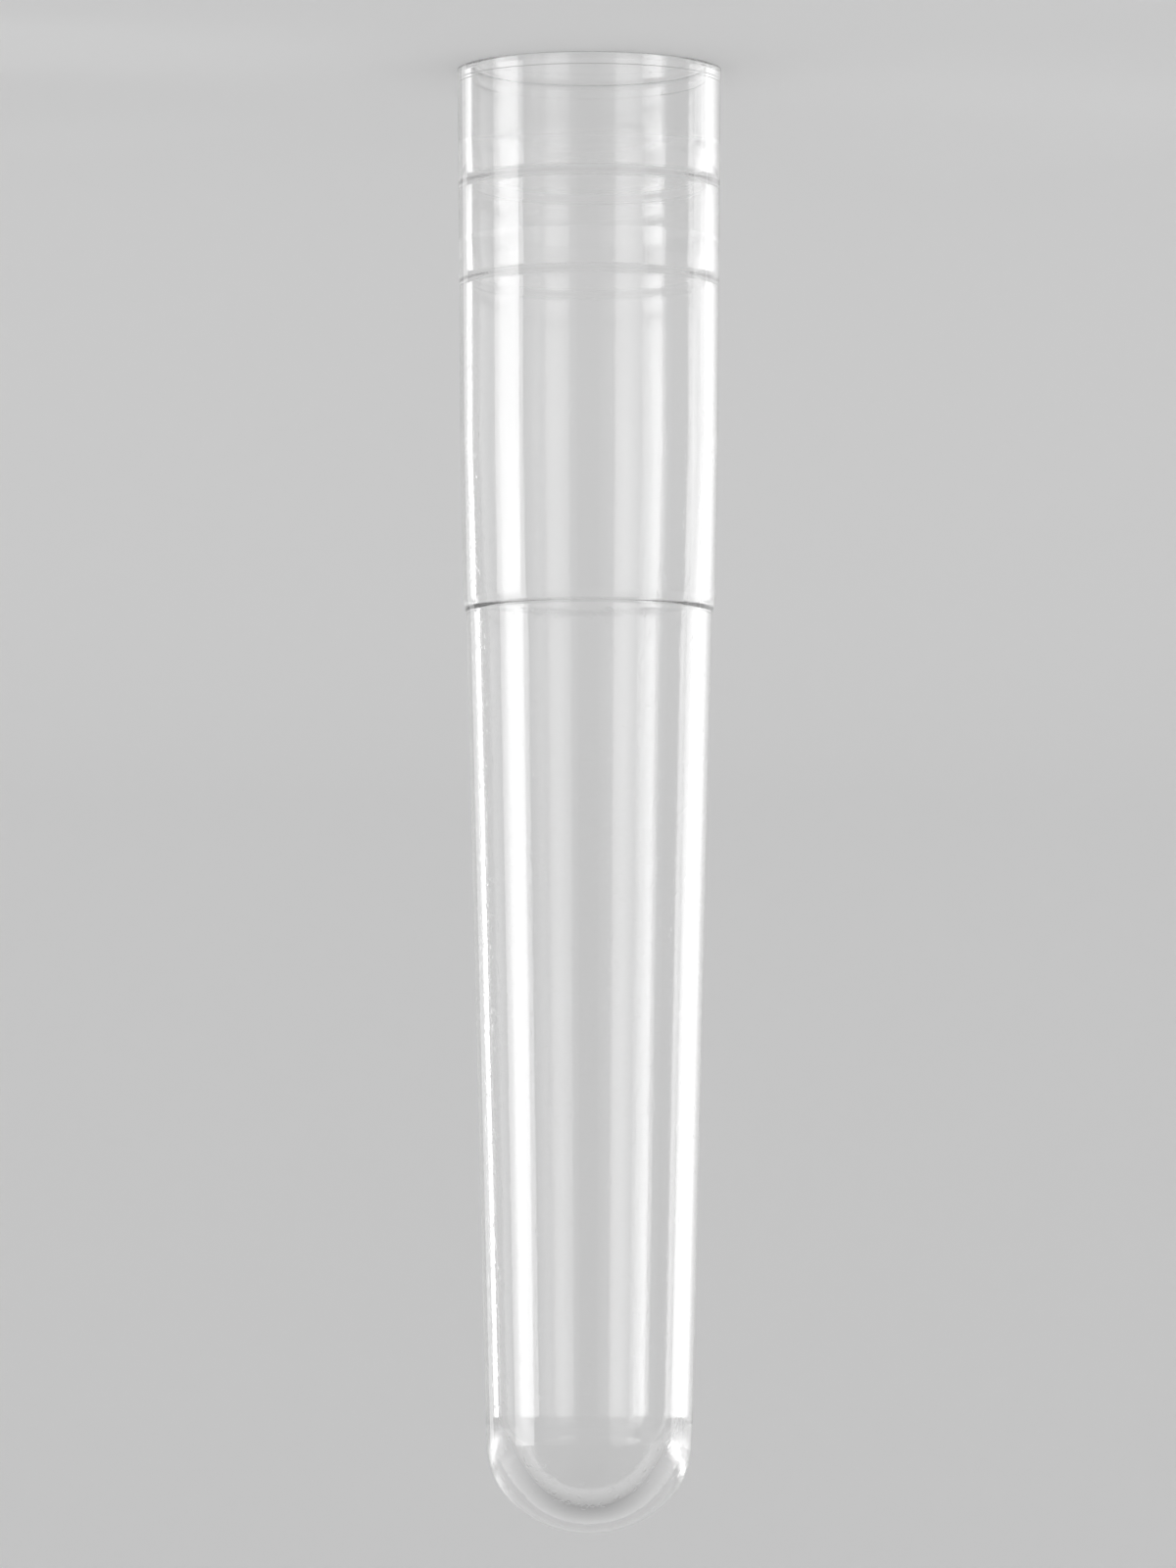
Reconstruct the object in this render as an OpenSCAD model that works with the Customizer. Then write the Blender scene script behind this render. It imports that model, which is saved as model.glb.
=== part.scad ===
// Clear round-bottom sample tube with two inner snap rings for a push-in cap.
// It stands upside down on its flat rim, the one end that it can stand on, so every height is
// a distance from the rim.

/* [Overall size] */
// Length from the rim to the tip of the round bottom
tube_length = 95; // [85:1:110]
// Outside diameter at the rim
rim_d = 17.2; // [17.1:0.1:17.6]
// Thickness of the wall of the collar and the body
wall = 0.93; // [0.8:0.01:1.1]
// Thickness of the round bottom at its tip
tip_t = 1.7; // [1.4:0.1:2]

/* [Mouth] */
// Bore that the cap's plug goes into
bore_d = 15.3; // [15:0.1:15.4]
// Depth of the bevel that leads the plug in
lead_depth = 0.3; // [0.2:0.1:0.8]
// How much wider than the bore the bevel is, on each side
lead_widening = 0.12; // [0.1:0.01:0.4]
// Radius of the rim's outer edge
rim_edge_r = 0.1; // [0.05:0.05:0.3]

/* [Snap rings] */
// Number of snap rings inside the mouth
ring_count = 2; // [1:1:2]
// Depth from the rim to the first ring
ring_depth = 4.9; // [4:0.1:6]
// Distance from one ring to the next
ring_pitch = 6.35; // [5:0.05:7]
// Length of a ring along the tube
ring_length = 2.8; // [2.6:0.1:3.2]
// Length of the ring's curved ramp, from its start to its crest
ring_ramp = 2.35; // [1.8:0.05:2.5]
// How far a ring stands into the bore
ring_height = 0.15; // [0.1:0.01:0.25]

/* [Collar] */
// Length of the straight bore that the cap seals in
seal_length = 24; // [20:1:28]
// Outside diameter at the inner end of the sealing length
seal_d = 16.78; // [16.7:0.02:16.9]
// Length of the whole collar, from the rim to the shoulder
collar_length = 34.6; // [32:0.1:38]
// Outside diameter of the collar at the shoulder
collar_d = 16.4; // [16.3:0.05:16.6]
// Length of the shoulder's slope along the tube
shoulder_length = 0.9; // [0.6:0.1:1.5]
// Length of the same slope inside, which is steeper and halfway along it
inner_shoulder_length = 0.2; // [0.2:0.1:0.6]

/* [Body] */
// Outside diameter where the body meets the shoulder
body_d = 15.96; // [15.8:0.02:16.1]
// Draft of the body's wall, in degrees a side
body_draft = 1.43; // [1.2:0.01:1.5]

/* [Round bottom] */
// Length of the round bottom along the tube, outside
dome_length = 5.85; // [5.8:0.05:6.2]
// Radius of the turn from the wall into the round bottom, outside
turn_r = 5.6; // [5:0.1:5.7]
// Length of the cavity's round end along the tube
inner_dome_length = 6.05; // [5.95:0.05:6.2]
// Radius of the turn from the wall into the cavity's round end
inner_turn_r = 6.6; // [6.5:0.1:7.5]

/* [Hidden] */
$fn = 144;
// Largest angle between two points on an arc
arc_step = 5;
rim_r = rim_d / 2;
bore_r = bore_d / 2;
body_z = collar_length + shoulder_length;
dome_z = tube_length - dome_length;
inner_dome_z = tube_length - tip_t - inner_dome_length;
step_z = collar_length + (shoulder_length - inner_shoulder_length) / 2;
ramp_r = (ring_ramp ^ 2 + ring_height ^ 2) / (2 * ring_height);

// Points on an arc from one direction to another, without its first point
function arc(centre, r, from, to) = let (steps = ceil(abs(to - from) / arc_step))
    [for (i = [1:steps]) let (a = from + (to - from) * i / steps) centre + r * [cos(a), sin(a)]];

// Radius of the body's outside at a height
function body_r(z) = body_d / 2 - (z - body_z) * tan(body_draft);

// The round end of a drafted wall, from start_z: a turn tangent to the wall, then a crown
// tangent to the turn whose top is at tip_z
function round_end(wall_r, start_z, r, tip_z) = let (
    turn = [wall_r - r * cos(body_draft), start_z - r * sin(body_draft)],
    rise = tip_z - turn[1],
    crown_r = (turn[0] ^ 2 + rise ^ 2 - r ^ 2) / (2 * (rise - r)),
    meet = atan((crown_r - rise) / turn[0])
) [
    [wall_r, start_z],
    each arc(turn, r, body_draft, meet),
    each arc([0, tip_z - crown_r], crown_r, meet, 90),
];

// One snap ring, from its start inwards: a ramp that flattens towards the crest, then a step
// back to the bore
function ring_points(start_z) = [
    [bore_r, start_z],
    each arc([bore_r - ring_height + ramp_r, start_z + ring_ramp], ramp_r,
        180 + asin(ring_ramp / ramp_r), 180),
    [bore_r, start_z + ring_length],
];

outer_points = [
    each arc([rim_r - rim_edge_r, rim_edge_r], rim_edge_r, -90, 0),
    [seal_d / 2, seal_length],
    [collar_d / 2, collar_length],
    [body_d / 2, body_z],
    each round_end(body_r(dome_z), dome_z, turn_r, tube_length),
];

inner_points = [
    [bore_r + lead_widening, 0],
    [bore_r, lead_depth],
    for (i = [0:ring_count - 1]) each ring_points(ring_depth + i * ring_pitch),
    [bore_r, seal_length],
    [collar_d / 2 - wall, step_z],
    [body_d / 2 - wall, step_z + inner_shoulder_length],
    each round_end(body_r(inner_dome_z) - wall, inner_dome_z, inner_turn_r, tube_length - tip_t),
];

function reversed(points) = [for (i = [len(points) - 1:-1:0]) points[i]];

module tube() {
    color([0.86, 0.88, 0.88, 0.45])
        rotate_extrude()
            polygon([[rim_r - rim_edge_r, 0], each outer_points, each reversed(inner_points)]);
}

tube();
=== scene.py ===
import math
import bmesh
import bpy
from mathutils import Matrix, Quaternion, Vector


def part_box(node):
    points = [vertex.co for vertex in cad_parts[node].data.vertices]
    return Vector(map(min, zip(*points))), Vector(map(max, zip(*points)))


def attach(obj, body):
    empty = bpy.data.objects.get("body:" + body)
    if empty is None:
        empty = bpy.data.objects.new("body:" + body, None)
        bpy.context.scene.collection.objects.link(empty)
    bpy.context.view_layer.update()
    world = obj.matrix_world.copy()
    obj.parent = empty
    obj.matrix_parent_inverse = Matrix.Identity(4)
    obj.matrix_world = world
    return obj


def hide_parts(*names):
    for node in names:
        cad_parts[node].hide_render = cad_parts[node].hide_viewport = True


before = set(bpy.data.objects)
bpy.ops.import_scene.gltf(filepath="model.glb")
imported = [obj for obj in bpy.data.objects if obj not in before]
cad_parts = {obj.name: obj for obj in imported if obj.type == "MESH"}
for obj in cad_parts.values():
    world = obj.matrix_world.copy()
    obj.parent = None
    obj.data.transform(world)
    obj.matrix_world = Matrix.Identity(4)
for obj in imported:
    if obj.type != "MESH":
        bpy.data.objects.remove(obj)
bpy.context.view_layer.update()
mm = 0.001


# Drawing a section in the X-Z plane, one vertex after another

def lineTo(bm, last, radius, height, pieces=1, hold=0.0):
    # hold puts a vertex that far from each end, which keeps the shading of a corner beside it
    start = last.co.copy()
    end = Vector((radius, 0, height)) * mm
    share = hold * mm / (end - start).length
    stops = [share] * (hold > 0) + [i / pieces for i in range(1, pieces)]
    for stop in stops + [1 - share] * (hold > 0) + [1]:
        last = bmesh.ops.extrude_vert_indiv(bm, verts=[last])["verts"][0]
        last.co = start.lerp(end, stop)
    return last


def arcTo(bm, last, centreRadius, centreHeight, degrees, steps):
    arc = bmesh.ops.spin(bm, geom=[last], cent=Vector((centreRadius, 0, centreHeight)) * mm,
                         axis=(0, -1, 0), angle=math.radians(degrees), steps=steps)
    return [v for v in arc["geom_last"] if isinstance(v, bmesh.types.BMVert)][0]


mergeDistance = 0.0005 # millimetres


def spinSection(bm, name, steps):
    bmesh.ops.spin(bm, geom=bm.verts[:] + bm.edges[:], cent=(0, 0, 0), axis=(0, 0, 1),
                   angle=math.tau, steps=steps, use_merge=True)
    bmesh.ops.remove_doubles(bm, verts=bm.verts, dist=mergeDistance * mm)
    bmesh.ops.recalc_face_normals(bm, faces=bm.faces)
    for face in bm.faces:
        face.smooth = True
    mesh = bpy.data.meshes.new(name)
    bm.to_mesh(mesh)
    bm.free()
    piece = bpy.data.objects.new(name, mesh)
    bpy.context.collection.objects.link(piece)
    return piece


# Nodes that more than one material uses

def newMaterial(name):
    material = bpy.data.materials.new(name)
    material.use_nodes = True
    material.node_tree.nodes.clear()
    return material, material.node_tree.nodes, material.node_tree.links


def mapRange(nodes, links, source, fromRange, toRange=(0, 1)):
    node = nodes.new("ShaderNodeMapRange")
    node.inputs["From Min"].default_value, node.inputs["From Max"].default_value = fromRange
    node.inputs["To Min"].default_value, node.inputs["To Max"].default_value = toRange
    links.new(source, node.inputs["Value"])
    return node.outputs[0]


def combine(nodes, links, operation, first, second):
    node = nodes.new("ShaderNodeMath")
    node.operation = operation
    links.new(first, node.inputs[0])
    links.new(second, node.inputs[1])
    return node.outputs[0]


def mixShaders(nodes, links, share, first, second):
    mix = nodes.new("ShaderNodeMixShader")
    links.new(share, mix.inputs[0])
    links.new(first.outputs[0], mix.inputs[1])
    links.new(second.outputs[0], mix.inputs[2])
    links.new(mix.outputs[0], nodes.new("ShaderNodeOutputMaterial").inputs[0])


def tubeSees(nodes, links):
    # One where light reaches the eye by way of the clear tube, and nought elsewhere
    path = nodes.new("ShaderNodeLightPath")
    return combine(nodes, links, "MAXIMUM", path.outputs["Is Glossy Ray"],
                   path.outputs["Is Transmission Ray"])


# The tube: heights are millimetres from the rim

tubeSize = {
    "wall": 0.93, "tipThickness": 1.7, "rimEdge": 0.1, "bore": 7.65, "leadDepth": 0.3,
    "leadWidening": 0.12, "partingHeight": 0.76, "partingLedge": 0.025, "partingStep": 0.02,
    "sealEnd": 24.0, "sealRadius": 8.39, "collarEnd": 34.6, "collarRadius": 8.2,
    "shoulder": 0.9, "innerShoulder": 0.2, "bodyRadius": 7.98, "draft": 1.43,
    "domeLength": 5.85, "turn": 5.6, "innerDomeLength": 6.05, "innerTurn": 6.6,
    "ringCount": 2, "ringDepth": 4.9, "ringPitch": 6.35, "ringLength": 2.8, "ringRamp": 2.35,
    "ringHeight": 0.15, "corner": 0.05, "ringCorner": 0.17, "shoulderCorner": 0.14,
    "hold": 0.08, "ringHold": 0.24, "cornerSteps": 5, "arcSteps": 8, "endSteps": 24,
    "steps": 176,
}


def bodyRadiusAt(height):
    s = tubeSize
    fall = height - s["collarEnd"] - s["shoulder"]
    return s["bodyRadius"] - fall * math.tan(math.radians(s["draft"]))


def roundEnd(bm, last, wallRadius, start, turn, tip):
    # A turn tangent to the drafted wall, then a crown tangent to the turn
    draft = math.radians(tubeSize["draft"])
    turnRadius = wallRadius - turn * math.cos(draft)
    turnHeight = start - turn * math.sin(draft)
    rise = tip - turnHeight
    crown = (turnRadius ** 2 + rise ** 2 - turn ** 2) / (2 * (rise - turn))
    meet = math.degrees(math.atan((crown - rise) / turnRadius))
    steps = tubeSize["endSteps"]
    last = arcTo(bm, last, turnRadius, turnHeight, meet - tubeSize["draft"], steps)
    arcTo(bm, last, 0, tip - crown, 90 - meet, steps)


def drawOutside(bm, first, rim, length, shoulderCorners):
    s = tubeSize
    last = arcTo(bm, first, rim - s["rimEdge"], s["rimEdge"], 90, s["arcSteps"])
    last = lineTo(bm, last, rim, s["partingHeight"], 2, s["partingStep"])
    last = lineTo(bm, last, rim - s["partingLedge"], s["partingHeight"] + s["partingStep"])
    last = lineTo(bm, last, s["sealRadius"], s["sealEnd"], 16, s["partingStep"])
    last = lineTo(bm, last, s["collarRadius"], s["collarEnd"], 8)
    shoulderCorners.append(last)
    last = lineTo(bm, last, s["bodyRadius"], s["collarEnd"] + s["shoulder"], 2)
    shoulderCorners.append(last)
    domeStart = length - s["domeLength"]
    last = lineTo(bm, last, bodyRadiusAt(domeStart), domeStart, 36)
    roundEnd(bm, last, bodyRadiusAt(domeStart), domeStart, s["turn"], length)


def drawRing(bm, last, start, ringCorners):
    s = tubeSize
    ramp = (s["ringRamp"] ** 2 + s["ringHeight"] ** 2) / (2 * s["ringHeight"])
    degrees = math.degrees(math.asin(s["ringRamp"] / ramp))
    last = lineTo(bm, last, s["bore"], start, 4, s["ringHold"])
    last = arcTo(bm, last, s["bore"] - s["ringHeight"] + ramp, start + s["ringRamp"], -degrees,
                 s["arcSteps"])
    ringCorners.append(last)
    last = lineTo(bm, last, s["bore"], start + s["ringLength"])
    ringCorners.append(last)
    return last


def drawInside(bm, first, length, corners, ringCorners, shoulderCorners):
    s = tubeSize
    last = lineTo(bm, first, s["bore"] + s["leadWidening"], 0, 1, s["hold"])
    corners.append(last)
    last = lineTo(bm, last, s["bore"], s["leadDepth"], 2)
    corners.append(last)
    for ring in range(s["ringCount"]):
        last = drawRing(bm, last, s["ringDepth"] + ring * s["ringPitch"], ringCorners)
    last = lineTo(bm, last, s["bore"], s["sealEnd"], 8, s["ringHold"])
    stepStart = s["collarEnd"] + (s["shoulder"] - s["innerShoulder"]) / 2
    last = lineTo(bm, last, s["collarRadius"] - s["wall"], stepStart, 8)
    shoulderCorners.append(last)
    last = lineTo(bm, last, s["bodyRadius"] - s["wall"], stepStart + s["innerShoulder"])
    shoulderCorners.append(last)
    tip = length - s["tipThickness"]
    endStart = tip - s["innerDomeLength"]
    endRadius = bodyRadiusAt(endStart) - s["wall"]
    last = lineTo(bm, last, endRadius, endStart, 36)
    roundEnd(bm, last, endRadius, endStart, s["innerTurn"], tip)


def makeTube():
    s = tubeSize
    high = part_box("tube")[1]
    length, rim = high[2] / mm, high[0] / mm
    corners, ringCorners, shoulderCorners = [], [], []
    bm = bmesh.new()
    first = bm.verts.new(Vector((rim - s["rimEdge"], 0, 0)) * mm)
    drawOutside(bm, first, rim, length, shoulderCorners)
    drawInside(bm, first, length, corners, ringCorners, shoulderCorners)
    for group, offset in ((corners, s["corner"]), (ringCorners, s["ringCorner"]),
                          (shoulderCorners, s["shoulderCorner"])):
        bmesh.ops.bevel(bm, geom=group, offset=offset * mm, offset_type="OFFSET",
                        segments=s["cornerSteps"], profile=0.5, affect="VERTICES", material=-1)
    return spinSection(bm, "clearTube", s["steps"])


# Clear plastic: its haze varies a little, and its relief is in thousandths of a millimetre

plasticLook = {
    "ior": 1.59, "shadow": 0.93, "haze": 120, "hazeRange": (0.35, 0.65),
    "roughness": (0.03, 0.07), "lines": 1400, "lineStretch": 0.03, "lineHeight": 0.4,
    "specks": 2600, "speckRange": (0.68, 0.76), "speckHeight": 2.2,
    "reliefFrom": 13, "reliefTo": 20, # heights between which the relief fades in
}


def noise(nodes, links, place, scale, detail):
    node = nodes.new("ShaderNodeTexNoise")
    node.inputs["Scale"].default_value = scale
    node.inputs["Detail"].default_value = detail
    links.new(place, node.inputs["Vector"])
    return node.outputs[0]


def plasticRelief(nodes, links, place):
    # Faint lines along the tube, as the mould draws them, and a few fine specks
    s = plasticLook
    drawn = nodes.new("ShaderNodeMapping")
    drawn.inputs["Scale"].default_value = (1, 1, s["lineStretch"])
    links.new(place, drawn.inputs["Vector"])
    lines = noise(nodes, links, drawn.outputs[0], s["lines"], 1)
    lineHeight = nodes.new("ShaderNodeMath")
    lineHeight.operation = "MULTIPLY"
    lineHeight.inputs[1].default_value = s["lineHeight"]
    links.new(lines, lineHeight.inputs[0])
    specks = noise(nodes, links, place, s["specks"], 0)
    speckHeight = mapRange(nodes, links, specks, s["speckRange"], (0, s["speckHeight"]))
    split = nodes.new("ShaderNodeSeparateXYZ")
    links.new(place, split.inputs[0])
    fade = mapRange(nodes, links, split.outputs["Z"], (s["reliefFrom"] * mm, s["reliefTo"] * mm))
    bump = nodes.new("ShaderNodeBump")
    bump.inputs["Distance"].default_value = 0.001 * mm
    links.new(combine(nodes, links, "ADD", lineHeight.outputs[0], speckHeight),
              bump.inputs["Height"])
    links.new(fade, bump.inputs["Strength"])
    return bump.outputs[0]


def plasticMaterial():
    s = plasticLook
    material, nodes, links = newMaterial("clearPlastic")
    plastic = nodes.new("ShaderNodeBsdfPrincipled")
    plastic.inputs["Base Color"].default_value = (1, 1, 1, 1)
    plastic.inputs["IOR"].default_value = s["ior"]
    plastic.inputs["Transmission Weight"].default_value = 1
    place = nodes.new("ShaderNodeTexCoord").outputs["Object"]
    haze = noise(nodes, links, place, s["haze"], 0)
    links.new(mapRange(nodes, links, haze, s["hazeRange"], s["roughness"]),
              plastic.inputs["Roughness"])
    links.new(plasticRelief(nodes, links, place), plastic.inputs["Normal"])
    letLightIn = nodes.new("ShaderNodeBsdfTransparent") # a clear tube casts a faint shadow
    letLightIn.inputs[0].default_value = (*[s["shadow"]] * 3, 1)
    path = nodes.new("ShaderNodeLightPath")
    mixShaders(nodes, links, path.outputs["Is Shadow Ray"], plastic, letLightIn)
    return material


tube = makeTube()
tube.data.materials.append(plasticMaterial())
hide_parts("tube")
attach(tube, "root")
print("tube made:", sum(len(p.vertices) - 2 for p in tube.data.polygons), "triangles")


# The stage: a round floor that curves up into a low wall all round. Close by it has a sheen,
# which shows in the tube alone and at a low glance, so that the streaks run on to the rim

stageSize = {
    "gap": 0.02, "floor": 900, "sweep": 300, "wall": 600, "steps": 96, "colour": 0.88,
    "sheen": 0.03, "sheenFrom": 55, "sheenTo": 95, "glanceRange": (0.76, 0.83),
    "sheenShare": 0.95,
}


def floorMaterial():
    s = stageSize
    material, nodes, links = newMaterial("floorPaint")
    paint = nodes.new("ShaderNodeBsdfDiffuse")
    paint.inputs[0].default_value = (*[s["colour"]] * 3, 1)
    gloss = nodes.new("ShaderNodeBsdfGlossy")
    gloss.inputs["Color"].default_value = (1, 1, 1, 1)
    gloss.inputs["Roughness"].default_value = s["sheen"]
    distance = nodes.new("ShaderNodeVectorMath")
    distance.operation = "LENGTH"
    links.new(nodes.new("ShaderNodeTexCoord").outputs["Object"], distance.inputs[0])
    near = mapRange(nodes, links, distance.outputs["Value"],
                    (s["sheenTo"] * mm, s["sheenFrom"] * mm))
    nearAndSeen = combine(nodes, links, "MULTIPLY", near, tubeSees(nodes, links))
    facing = nodes.new("ShaderNodeLayerWeight").outputs["Facing"]
    glance = mapRange(nodes, links, facing, s["glanceRange"], (0, s["sheenShare"]))
    share = combine(nodes, links, "MULTIPLY", nearAndSeen, glance)
    mixShaders(nodes, links, share, paint, gloss)
    return material


def makeStage():
    s = stageSize
    bm = bmesh.new()
    last = bm.verts.new((0, 0, -s["gap"] * mm)) # just clear of the rim
    last = lineTo(bm, last, s["floor"], -s["gap"], 6)
    last = arcTo(bm, last, s["floor"], s["sweep"] - s["gap"], 90, 16)
    lineTo(bm, last, s["floor"] + s["sweep"], s["wall"], 2)
    stage = spinSection(bm, "floor", s["steps"])
    stage.data.materials.append(floorMaterial())


makeStage()
print("stage made")


# Lamps stand round the tube: turn is degrees from straight behind it towards the right of
# the view, spread is how many degrees wide it looks from the tube

lamps = {
    "leftSoftbox": {"turn": -107, "spread": 26, "distance": 50, "top": 93.2, "light": 3.7},
    "frontLeftPanel": {"turn": -147, "spread": 46, "distance": 50, "top": 93.2, "light": 0.55},
    "backLeftStrip": {"turn": -45, "spread": 12, "distance": 60, "top": 93.6, "light": 0.85},
    "backRightPanel": {"turn": 42, "spread": 38, "distance": 60, "top": 93.6, "light": 0.75},
    "rightSoftbox": {"turn": 71, "spread": 22, "distance": 50, "top": 93.2, "light": 1.3},
    "rightPanel": {"turn": 116, "spread": 18, "distance": 50, "top": 93.2, "light": 0.35},
    "frontRightSoftbox": {"turn": 145, "spread": 27, "distance": 50, "top": 93.2, "light": 1.25},
}
lampBottom = 0.2
lampGrid = 56 # degrees that a lamp's grid lets out


def makeLamp(name, s):
    turn = math.radians(s["turn"])
    outward = Vector((-math.sin(turn), math.cos(turn), 0))
    width = 2 * s["distance"] * math.tan(math.radians(s["spread"] / 2)) * mm
    height = (s["top"] - lampBottom) * mm
    light = bpy.data.lights.new(name, "AREA")
    light.shape = "RECTANGLE"
    light.size, light.size_y = width, height
    halfGrid = math.radians(lampGrid / 2)
    gridGain = math.tan(halfGrid) / (math.tan(halfGrid) - halfGrid) # a grid gathers the light
    light.energy = 4 * s["light"] * width * height / gridGain
    light.spread = 2 * halfGrid
    lamp = bpy.data.objects.new(name, light)
    bpy.context.collection.objects.link(lamp)
    lamp.location = outward * s["distance"] * mm + Vector((0, 0, lampBottom * mm + height / 2))
    lamp.rotation_euler = (-outward).to_track_quat("-Z", "Y").to_euler()
    lamp.visible_camera = False


for name, setting in lamps.items():
    makeLamp(name, setting)
print("lamps placed:", len(lamps))


# The light overhead is soft and even, and the clear plastic sees it fall off towards the top

skyLook = {"light": 0.7, "fallRange": (0.42, 1.0), "seenRange": (0.66, 0.27)}


def makeSky():
    s = skyLook
    world = bpy.data.worlds.new("softLight")
    bpy.context.scene.world = world
    world.use_nodes = True
    nodes, links = world.node_tree.nodes, world.node_tree.links
    background = nodes["Background"]
    background.inputs[0].default_value = (1, 1, 1, 1)
    split = nodes.new("ShaderNodeSeparateXYZ")
    links.new(nodes.new("ShaderNodeTexCoord").outputs["Generated"], split.inputs[0])
    fall = mapRange(nodes, links, split.outputs["Z"], s["fallRange"], s["seenRange"])
    strength = nodes.new("ShaderNodeMix")
    strength.inputs["A"].default_value = s["light"]
    links.new(tubeSees(nodes, links), strength.inputs["Factor"])
    links.new(fall, strength.inputs["B"])
    links.new(strength.outputs["Result"], background.inputs[1])


makeSky()
print("sky made")


# The camera is turned over, so that the mouth is at the top of its view

cameraPlace = {"distance": 563.9, "eye": 77.5, "aim": 46.57, "aside": 0.08, "viewHeight": 101.6,
               "filmHeight": 36}


def makeCamera():
    s = cameraPlace
    eye = Vector((s["aside"], -s["distance"], s["eye"])) * mm
    aim = Vector((s["aside"], 0, s["aim"])) * mm
    camera = bpy.data.cameras.new("camera")
    camera.sensor_fit = "VERTICAL"
    camera.sensor_height = s["filmHeight"]
    camera.lens = s["filmHeight"] * (aim - eye).length / (s["viewHeight"] * mm)
    holder = bpy.data.objects.new("camera", camera)
    bpy.context.collection.objects.link(holder)
    holder.location = eye
    turnedOver = Quaternion((0, 0, 1), math.pi)
    holder.rotation_euler = ((aim - eye).to_track_quat("-Z", "Y") @ turnedOver).to_euler()
    bpy.context.scene.camera = holder


makeCamera()
bpy.context.scene.view_settings.view_transform = "Standard"
bounces = 64 # light goes a long way inside a clear wall
bpy.context.scene.cycles.max_bounces = bounces
bpy.context.scene.cycles.transmission_bounces = bounces
bpy.context.scene.cycles.glossy_bounces = bounces
print("camera placed")
